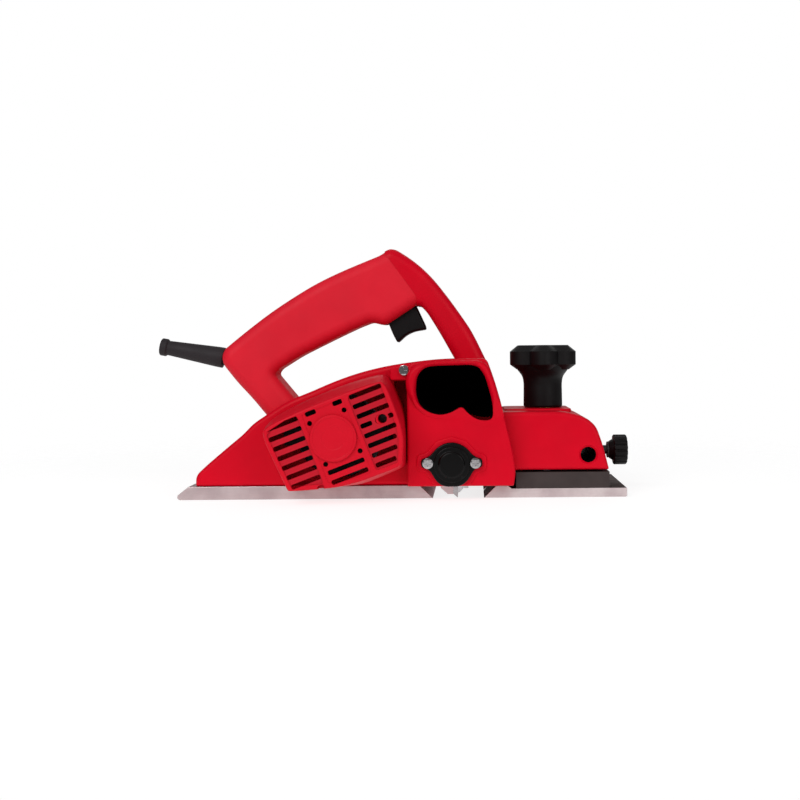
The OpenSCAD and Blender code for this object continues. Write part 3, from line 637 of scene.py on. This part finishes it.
for name, w in (("rear_shoe", 0.35), ("front_shoe", 0.35), ("front_shoe_block", 0.5), ("cutter_drum", 0.3),
        ("blade_clamps", 0.25), ("planer_blades", 0.06), ("blade_clamp_bolts", 0.3), ("retainer_screws", 0.25),
        ("chute_screw", 0.25), ("motor_cover_screw", 0.2), ("belt_cover_screws", 0.25), ("handle_screws", 0.25),
        ("fence_clamp_washer", 0.2), ("fence_clamp_stud", 0.25), ("rear_shoe_screws", 0.2), ("front_shoe_screws", 0.2),
        ("depth_knob_insert", 0.3), ("driven_pulley", 0.3), ("drive_pulley", 0.3)):
    o = frame["nodes"][name]
    bpy.context.view_layer.objects.active = o
    if o.data.has_custom_normals:
        bpy.ops.mesh.customdata_custom_splitnormals_clear()
    o.data.polygons.foreach_set("use_smooth", [True] * len(o.data.polygons))
    weld = o.modifiers.new("weld", "WELD")
    weld.merge_threshold = 2e-6
    bev = o.modifiers.new("edges", "BEVEL")
    bev.width = w * MM
    bev.segments = 2
    bev.limit_method = "ANGLE"
    bev.angle_limit = math.radians(38)
    bev.harden_normals = False
    bev.use_clamp_overlap = True
    wn = o.modifiers.new("normals", "WEIGHTED_NORMAL")
    wn.weight = 60

# ---------------------------------------------------------------- main frame
body = obj_of("body", slab([soft(body_outline, 2.2, tight={0: 1.5, 1: 5, 14: 1.5, 20: 1.0})], -43, 43, (3, 3), (3, 3)))
add(body,
    slab([soft(wall_outline, 2.0, cap=8, tight={0: 1, 1: 1, 7: 3, 11: 3})], -56, -38, (1.6, 1.6)),
    slab([soft(belt_outline, 2.2)], 38, 56, None, (1.0, 1.0)),
    slab([soft([(1, 76), (15, 76), (15, 86.2), (1, 84.2)], 1.2, cap=2)], -50, -40, (1, 1)),
    slab([soft(clip(inset(retainer_outline, -3), (0, -1), -9.3), 1.2, cap=1.5)], -57.2, -54, (1.0, 1.0)))
outlet_hole = soft(inset(outlet_outline, -1.6), 1.2, cap=7)
cut(body,
    slab([outlet_hole], -61.5, 36.2),
    cyl(MX, MZ, 30, -38, 40, 96),
    cyl(MX, MZ, 27.3, -51, -37, 96),
    slab([circle(DX, DZ, 26, 96)], -43.5, 43.5),
    box_mesh(DX - 26, DX + 26, -43.5, 43.5, -1, DZ),
    box_mesh(52, 66, -40, 34, 30, 60),
    box_mesh(58, 90, -43.5, 43.5, -1, 9.2),
    slab([soft([(3, 48), (11.9, 48), (11.9, 75.5), (3, 75.5)], 1.5, cap=1.5)], -52, -24),
    merge(cyl(DX, DZ, 13, -61, -47.5), cyl(DX, DZ, 13, 47.5, 61)),
    cyl(DX, DZ, 9, -60, 60),
    cyl(MX, MZ, 11, 49, 61),
    cyl(MX, MZ, 7, 30, 61),
    merge(*[cyl(x, z, 2.2, 45, 61, 24) for x, z in belt_posts]))
# the rolled lip round the mouth of the chip outlet
lip = obj_of("lip", slab([soft(rim_outline, 1.1), soft(inset(outlet_outline, 0.9), 1.1, cap=7)], -60, -53.5, (3.4, 3.8), None, n=8))
fade_y = [(-61.5, 92), (-61.5, 70), (-60.3, 67), (-57.2, 57.5), (-56.4, 54.6), (-56.15, 52), (-56.15, 40), (-52, 40), (-52, 92)]
combine(lip, slab([soft(fade_y, 1.0, cap=3)], 5, 80, plane="YZ"), "INTERSECT")
lv = [tuple(c / MM for c in v.co) for v in lip.data.vertices]
lf = [tuple(q.vertices) for q in lip.data.polygons]
bpy.data.objects.remove(lip)
add(body, (lv, lf))
cut(body, cyl(10, 82.5, 3.4, -61, -50, 40))
done(body, "frame_moulding", "housing", ["main_frame"], [mat_red])

# ---------------------------------------------------------------- front housing
front = obj_of("front", slab([soft(front_outline, 2.0, cap=10, tight={4: 1.2, 3: 1, 0: 1})], -42.5, 42.5, (2.6, 2.6), (2.6, 2.6)))
add(front, slab([soft([(74, -24), (118.5, -24), (118.5, 24), (74, 24)], 1.5, cap=5)], 50, 56, None, (0.8, 0.8), plane="XY"))
cut(front,
    cyl(127.6, 27.2, 5, -44, 44),
    lathe([(0, -44), (6.2, -44), (6.2, -42.5), (4.95, -41.3), (0, -41.3)], (127.6, 0, 27.2), (0, 1, 0), 64),
    rod((KX, 0, 0), (0, 0, 1), 12, 17, 49),
    rod((KX, 0, 0), (0, 0, 1), 9.2, 48, 57),
    merge(*[rod((KX, y, 0), (0, 0, 1), 4.06, 17, 50) for y in (-28, 28)]),
    rod((0, 0, CZ), (1, 0, 0), 3.3, 127, 146))
done(front, "front_moulding", "housing", ["front_housing"], [mat_red, mat_duct_and_hole_shade])
# the rod hole's wall gets the near-black material: painted shade inside the hole
for p in front.data.polygons:
    if math.hypot(p.center.x - 0.1276, p.center.z - 0.0272) < 0.00505 and abs(p.normal.y) < 0.5:
        p.material_index = 1

# ---------------------------------------------------------------- motor cover
def matched(pts, f=0.36, m=6, q=4):
    p = [np.array(a, float) for a in pts]
    out = []
    for i in range(len(p)):
        s, e = p[i] + (p[i - 1] - p[i]) * f, p[i] + (p[(i + 1) % len(p)] - p[i]) * f
        for k in range(m + 1):
            t = k / m
            out.append((1 - t) ** 2 * s + 2 * t * (1 - t) * p[i] + t * t * e)
        nxt = p[(i + 1) % len(p)] + (p[i] - p[(i + 1) % len(p)]) * f
        for k in range(1, q):
            out.append(e + (nxt - e) * k / q)
    return out


def at_y(pts, y):
    return [(q[0], y, q[1]) for q in pts]


def tilted(u, v):
    return np.array([MX + u * math.cos(TILT) - v * math.sin(TILT), MZ + u * math.sin(TILT) + v * math.cos(TILT)])


base, base_in, face = matched(cover_base), matched(inset(cover_base, 1.0)), matched(cover_face)
rings = [at_y(base, -40.4), at_y(base, -44), at_y([a * 0.5 + b * 0.5 for a, b in zip(base, base_in)], -53),
    at_y(base_in, -61), at_y([a * 0.8 + b * 0.2 for a, b in zip(base_in, face)], -64.2),
    at_y([a * 0.45 + b * 0.55 for a, b in zip(base_in, face)], -69.6), at_y(face, -76.4)]
for k in range(1, 6):
    f = math.pi / 2 * k / 5
    rings.append(at_y(matched(inset(cover_face, 1.6 * (1 - math.cos(f)))), -76.4 - 1.6 * math.sin(f)))
cover = obj_of("cover", loft(rings))
inner = [at_y(matched(inset(cover_base, 2.6)), -39), at_y(matched(inset(cover_base, 2.9)), -61), at_y(matched(inset(cover_face, 2.6)), -75.2)]
cut(cover, loft(inner))
uv = (math.cos(TILT), math.sin(TILT))
mid = uv[0] * MX + uv[1] * MZ
plate = inset(cover_face, 3.0)
left = clip(plate, uv, mid - 15.6)
right = clip(plate, (-uv[0], -uv[1]), -(mid + 17.1))
centre = clip(clip(plate, uv, mid + 14.6), (-uv[0], -uv[1]), -(mid - 13.1))
cut(cover, *[slab([soft(p, 1.5, cap=2.2)], -81, y) for p, y in ((left, -77.0), (right, -77.0), (centre, -77.5))])
holes = []
rows = [(-37.4, -16, [1]), (-37, -16, [2]), (-36.6, -16, [3]), (-36.2, -16, [4]), (-35.7, -16, [5]), (-35, -16, [6]), (17.9, 39.0, [0, 1, 2, 4]), (17.9, 36.6, [5]), (17.9, 34.6, [6]),
    (17.9, 31.5, [7]), (17.9, 25.5, [3]), (36, 39.6, [3]), (-11, -4, [0]), (7, 13.2, [0]), (-11, 13, [6, 7]), (-20.5, -16, [7])]
for u0, u1, idx in rows:
    for i in idx:
        v = 19.5 - 6.4 * i
        holes.append([(u0, v - 1.5), (u1, v - 1.5), (u1, v + 1.5), (u0, v + 1.5)])
holes.append([(-37.5, 18.2), (-16, 18.0), (-16, 21.0), (-24, 21.0)])
tools = [slab([soft([tilted(*q) for q in h], 1.2, cap=1.2)], -84, -70) for h in holes]
tools += [slab([circle(*tilted(u, v), 1.6, 24)], -84, -70) for u, v in ((-10.3, 13.7), (12.4, 13.7), (-10.3, -13.2), (12.4, -13.2))]
tools.append(slab([circle(*tilted(30.5, 0.3), 2.9, 32)], -84, -70))
for t in tools:
    cut(cover, t)
boss = path([(0, -66), (14.4, -66), (14.4, -79.5), (12.9, -79.5), (12.5, -79.05), (7.2, -79.05), (6.9, -78.9), (0, -78.9)],
    [0, 0, 0.9, 0.5, 0.4, 0.3, 0.3, 0], 4)
add(cover, lathe(boss, (MX, 0, MZ), (0, 1, 0), 96), cyl(-2, 53.2, 4.2, -76.4, -43.5, 40))
cut(cover, cyl(MX, MZ, 11, -76, -40), cyl(-2, 53.2, 2.0, -81, -40, 32), cyl(-2, 53.2, 2.9, -81, -66, 32))
done(cover, "cover_moulding", "housing", ["motor_cover"], [mat_cover, mat_cover_in])
for p in cover.data.polygons:
    c = p.center
    if -0.0771 < c.y < -0.0768 and abs(p.normal.y) > 0.9:
        p.material_index = 1

# ---------------------------------------------------------------- chip duct
# the liner is near-black and duller than the other black moulding
duct = obj_of("duct", slab([soft(inset(outlet_outline, -1.5), 1.2, cap=7)], -56, 36, (0.4, 0.4)))
cut(duct, slab([soft(outlet_outline, 1.2, cap=7)], -60, 34), box_mesh(52.5, 65.5, -39.5, 33, 40, 62))
done(duct, "chip_duct", "housing", ["chip_chute"], [mat_duct_and_hole_shade])

# ---------------------------------------------------------------- drum bearing retainer
ret = obj_of("retainer", slab([soft(retainer_outline, 1.0, cap=4)], -60, -57, (0.9, 0.9)))
hub = path([(0, -57.6), (11.4, -57.6), (11.4, -61.2), (8.6, -61.2), (7.6, -62.4), (0, -62.4)], [0, 0, 0.9, 0.4, 0.6, 0], 5)
add(ret, lathe(hub, (DX, 0, DZ), (0, 1, 0), 80), cyl(DX, DZ, 13, -57.5, -55.6))
cut(ret, cyl(DX, DZ, 10, -57, -54), merge(*[cyl(x, 24, 1.95, -61, -55, 24) for x in (25, 55)]))
done(ret, "retainer_moulding", "housing", ["drum_bearing_retainer"], [mat_gloss])

# ---------------------------------------------------------------- belt cover
belt = obj_of("belt", slab([soft(inset(belt_outline, 0.6), 2.0)], 56, 79.5, None, (5, 5), n=8))
cut(belt, slab([soft(inset(belt_outline, 3.6), 2.5)], 54, 76.5))
cut(belt, slab([soft(inset(belt_outline, 10), 2.5)], 78.7, 82))
add(belt, merge(*[cyl(x, z, 4.6, 56, 78.4, 40) for x, z in belt_posts]))
vents = []
for i in range(6):
    z = 30 + 6.5 * i
    vents.append(slab([soft([(-38, z - 1.2), (-14, z - 1.2), (-14, z + 1.2), (-38, z + 1.2)], 1.2, cap=1.1)], 74, 84))
cut(belt, merge(*vents))
add(belt, slab([soft(circle(DX, DZ, 13, 60), 1.2)], 78.2, 79.4, None, (0.8, 0.7)))
cut(belt, merge(*[cyl(x, z, 2, 55, 81, 24) for x, z in belt_posts]), merge(*[cyl(x, z, 3.7, 76, 82, 32) for x, z in belt_posts]))
done(belt, "belt_cover_moulding", "housing", ["belt_cover"], [mat_black])

# ---------------------------------------------------------------- handle
tight = {0: 2, 23: 1.5, 24: 1.5, 39: 6, 28: 1.5, 29: 2.5}
long_handle = list(handle_outline)
long_handle[0], long_handle[39] = (-78.6, 45.0), (-61.2, 59.2)
long_handle[23], long_handle[24] = (67.4, 78.0), (47.9, 78.0)
slot = [(-3.2, 100), (-3.2, 108), (-8, 120), (-8, 124), (16.4, 134), (16.4, 124.9), (16.4, 100)]
pillar = [(-8, 175), (-4.6, 160.4), (16.6, 131.2), (17.2, 124.6), (17.2, 80), (90, 80), (90, 175)]
guard_dir = Vector((-math.cos(math.radians(10.6)), 0, math.sin(math.radians(10.6))))
for side, s in (("right", -1), ("left", 1)):
    def half(pts, h, r, extra=0.0):
        y0, y1 = (-h, 0) if s < 0 else (0, h)
        return slab([pts], y0, y1, r if s < 0 else None, r if s > 0 else None, n=8)
    def band(h):
        return (-h, 0.2) if s < 0 else (-0.2, h)
    grip = obj_of("grip", half(soft(inset(long_handle, 0.35), 1.9, tight=tight), 16.6, (7.5, 7.0)))
    front_half = obj_of("pillar", half(soft(long_handle, 1.9, tight=tight), 17.0, (6.0, 5.5)))
    combine(front_half, slab([soft(pillar, 2.5, cap=3)], -20, 20), "INTERSECT")
    front_half.data.update()
    fv = [tuple(c / MM for c in v.co) for v in front_half.data.vertices]
    ff = [tuple(p.vertices) for p in front_half.data.polygons]
    bpy.data.objects.remove(front_half)
    add(grip, (fv, ff))
    cut(grip, box_mesh(30, 80, -20, 20, 60, 88.4), slab([inset(handle_outline, 3.5)], *band(13.5)), slab([slot], -8.5, 8.5))
    add(grip, merge(*[cyl(x, z, 4.0, -16 if s < 0 else 0, 0 if s < 0 else 16, 32) for x, z in handle_posts]))
    if s > 0:
        cut(grip, merge(*[cyl(x, z, 3.15, 14, 20, 32) for x, z in handle_posts]), merge(*[cyl(x, z, 2.1, -1, 15, 24) for x, z in handle_posts]),
            cyl(-15, 134, 5.1, 10, 20, 48))
    cut(grip, rod((-110, 0, 90.2), guard_dir, 5.05, -4, 16))
    done(grip, f"handle_{side}", "housing", [f"handle_{side}_shell"], [mat_grip, mat_red])
    poly = [np.array(q, float) for q in pillar]
    c = np.array([[p.center.x / MM, p.center.z / MM] for p in grip.data.polygons])
    flag = inside(c, [poly])
    grip.data.polygons.foreach_set("material_index", [int(f) for f in flag])

# ---------------------------------------------------------------- trigger and lock button
trig_outline = [(-2.4, 112.8), (-1, 109), (1, 104.5), (2.8, 101.2), (3.6, 100.6), (5, 101.6), (8.5, 105), (14, 107.8),
    (22.5, 109.2), (22.2, 111.5), (16.2, 124.6), (14, 128), (-5.6, 117.4)]
trig = obj_of("trig", slab([soft(trig_outline, 0.9, tight={11: 0.6, 12: 0.6})], -8, 8, (1.7, 1.7), (1.7, 1.7)))
add(trig, slab([[(-5, 116), (12, 127.1), (10, 130), (-6.3, 119.6)]], -10.5, 10.5))
done(trig, "trigger_moulding", "trigger_body", ["trigger"], [mat_black])
knob = path([(0, 11.05), (6.5, 11.05), (6.5, 13.3), (4.95, 13.3), (4.95, 20.0), (2.6, 20.5), (0, 20.35)], [0, 0.2, 0.2, 0, 0.9, 0.5, 0], 5)
lock = obj_of("lock", lathe(knob, (-15, 0, 134), (0, 1, 0), 56))
done(lock, "lock_button_cap", "lock_button_body", ["lock_button"], [mat_black])

# ---------------------------------------------------------------- cord guard
gp = [(3.7, -9), (3.7, 48.2), (5.2, 48.2), (5.9, 47.6), (5.9, 44.0), (5.3, 43.4), (4.9, 43.1), (6.85, 8.9), (6.9, 4.9), (4.95, 4.8),
    (4.95, -6.4), (6.5, -6.5), (6.5, -8.9), (3.7, -9)]
gp = path(gp, [0, 0.2, 0.5, 0.6, 0.7, 0.4, 0.5, 1.2, 0.2, 0, 0, 0.2, 0.2, 0], 4)[:-1]
guard = obj_of("guard", lathe(gp, (-110, 0, 90.2), guard_dir, 64, closed=True))
done(guard, "cord_guard_rubber", "housing", ["cord_guard"], [mat_rubber])

# ---------------------------------------------------------------- depth knob
def star(r_out, r_in, count, turn, sharp=1.0, n=240):
    out = []
    for k in range(n):
        a = 2 * math.pi * k / n
        w = 0.5 + 0.5 * math.cos(count * (a - turn))
        w = w ** sharp
        r = r_in + (r_out - r_in) * w
        out.append(np.array([KX + r * math.cos(a), r * math.sin(a)]))
    return out


head = obj_of("head", slab([star(23.95, 19.0, 6, math.radians(30), 0.55)], 81.6, 98, (4.6, 3.4), (5.2, 4.2), plane="XY", n=4, straight=True))
stem = path([(0, 56.3), (12.4, 56.3), (13.1, 57.2), (12.9, 72.5), (13.6, 77), (17.6, 82.2), (19, 86), (0, 86)],
    [0, 0.4, 0.6, 3, 3.5, 3.5, 1, 0], 7)
add(head, lathe(stem, (KX, 0, 0), (0, 0, 1), 96))
cut(head, rod((KX, 0, 0), (0, 0, 1), 9.0, 50, 78),
    lathe(path([(0, 97.3), (9.0, 97.3), (9.6, 99), (0, 99)], [0, 0.4, 0, 0], 3), (KX, 0, 0), (0, 0, 1), 64))
done(head, "depth_knob_moulding", "depth_knob_assembly", ["depth_knob"], [mat_black])

# ---------------------------------------------------------------- fence clamp knob
flute = []
for k in range(14 * 16):
    a = 2 * math.pi * k / (14 * 16)
    r = 10.1 - 0.85 * max(0.0, math.cos(14 * a)) ** 1.6
    flute.append(np.array([r * math.cos(a), CZ + r * math.sin(a)]))
fence = obj_of("fence", slab([flute], 148.2, 157.5, (0.9, 0.9), (1.7, 1.5), plane="YZ"))
add(fence, lathe(path([(0, 145.25), (5.6, 145.25), (7.6, 148.6), (7.6, 150), (0, 150)], [0, 0.5, 0.8, 0, 0], 4), (0, 0, CZ), (1, 0, 0), 56))
cut(fence, rod((0, 0, CZ), (1, 0, 0), 3.0, 145, 151),
    lathe([(0, 157.0), (5.6, 157.0), (6.0, 158.5), (0, 158.5)], (0, 0, CZ), (1, 0, 0), 48))
done(fence, "clamp_knob_moulding", "fence_clamp_screw", ["fence_clamp_knob"], [mat_black])

# ---------------------------------------------------------------- floor, light
fm = bpy.data.materials.new("floor")
fm.use_nodes = True
ft = fm.node_tree
fp = ft.nodes["Principled BSDF"]
fp.inputs["Base Color"].default_value = (0.3, 0.3, 0.3, 1)
fp.inputs["Roughness"].default_value = 0.9
fp.inputs["Specular IOR Level"].default_value = 0.0
fp.inputs["Emission Color"].default_value = (1, 1, 1, 1)
fp.inputs["Emission Strength"].default_value = 0.8
ftc = ft.nodes.new("ShaderNodeTexCoord")
flen = ft.nodes.new("ShaderNodeVectorMath")
flen.operation = "LENGTH"
ft.links.new(ftc.outputs["Object"], flen.inputs[0])
fade = ft.nodes.new("ShaderNodeMapRange")
fade.interpolation_type = "SMOOTHSTEP"
fade.inputs["From Min"].default_value, fade.inputs["From Max"].default_value = 0.25, 0.62
fade.inputs["To Min"].default_value, fade.inputs["To Max"].default_value = 1.0, 0.0
ft.links.new(flen.outputs["Value"], fade.inputs["Value"])
ft.links.new(fade.outputs["Result"], fp.inputs["Alpha"])
me = bpy.data.meshes.new("floor")
me.from_pydata([(0.64 * math.cos(a), 0.64 * math.sin(a), -0.0002) for a in [math.pi * i / 32 for i in range(64)]], [], [tuple(range(64))])
me.materials.append(fm)
floor = bpy.data.objects.new("floor", me)
scene.collection.objects.link(floor)

world = bpy.data.worlds.new("studio")
scene.world = world
world.use_nodes = True
wt = world.node_tree
bg = wt.nodes["Background"]
bg.inputs["Color"].default_value = (1, 1, 1, 1)
lp = wt.nodes.new("ShaderNodeLightPath")
mr = wt.nodes.new("ShaderNodeMapRange")
mr.inputs["To Min"].default_value = 0.17
mr.inputs["To Max"].default_value = 1.0
wt.links.new(lp.outputs["Is Camera Ray"], mr.inputs["Value"])
wt.links.new(mr.outputs["Result"], bg.inputs["Strength"])


def softbox(name, where, aim, size, power):
    d = bpy.data.lights.new(name, "AREA")
    d.shape = "RECTANGLE"
    d.size, d.size_y = size
    d.energy = power
    o = bpy.data.objects.new(name, d)
    o.location = where
    o.rotation_mode = "QUATERNION"
    o.rotation_quaternion = (Vector(aim) - Vector(where)).to_track_quat("-Z", "Y")
    scene.collection.objects.link(o)


softbox("key", (-0.7, -1.5, 1.1), (0, 0, 0.06), (1.2, 1.0), 21)
softbox("fill", (1.1, -1.4, 0.7), (0, 0, 0.06), (1.0, 1.0), 9)
softbox("top", (0.0, 0.1, 1.6), (0, 0, 0.05), (1.6, 1.6), 3.5)
softbox("back", (0.2, 1.5, 1.0), (0, 0, 0.06), (1.4, 1.0), 5)

scene.view_settings.view_transform = "Standard"
scene.view_settings.look = "None"
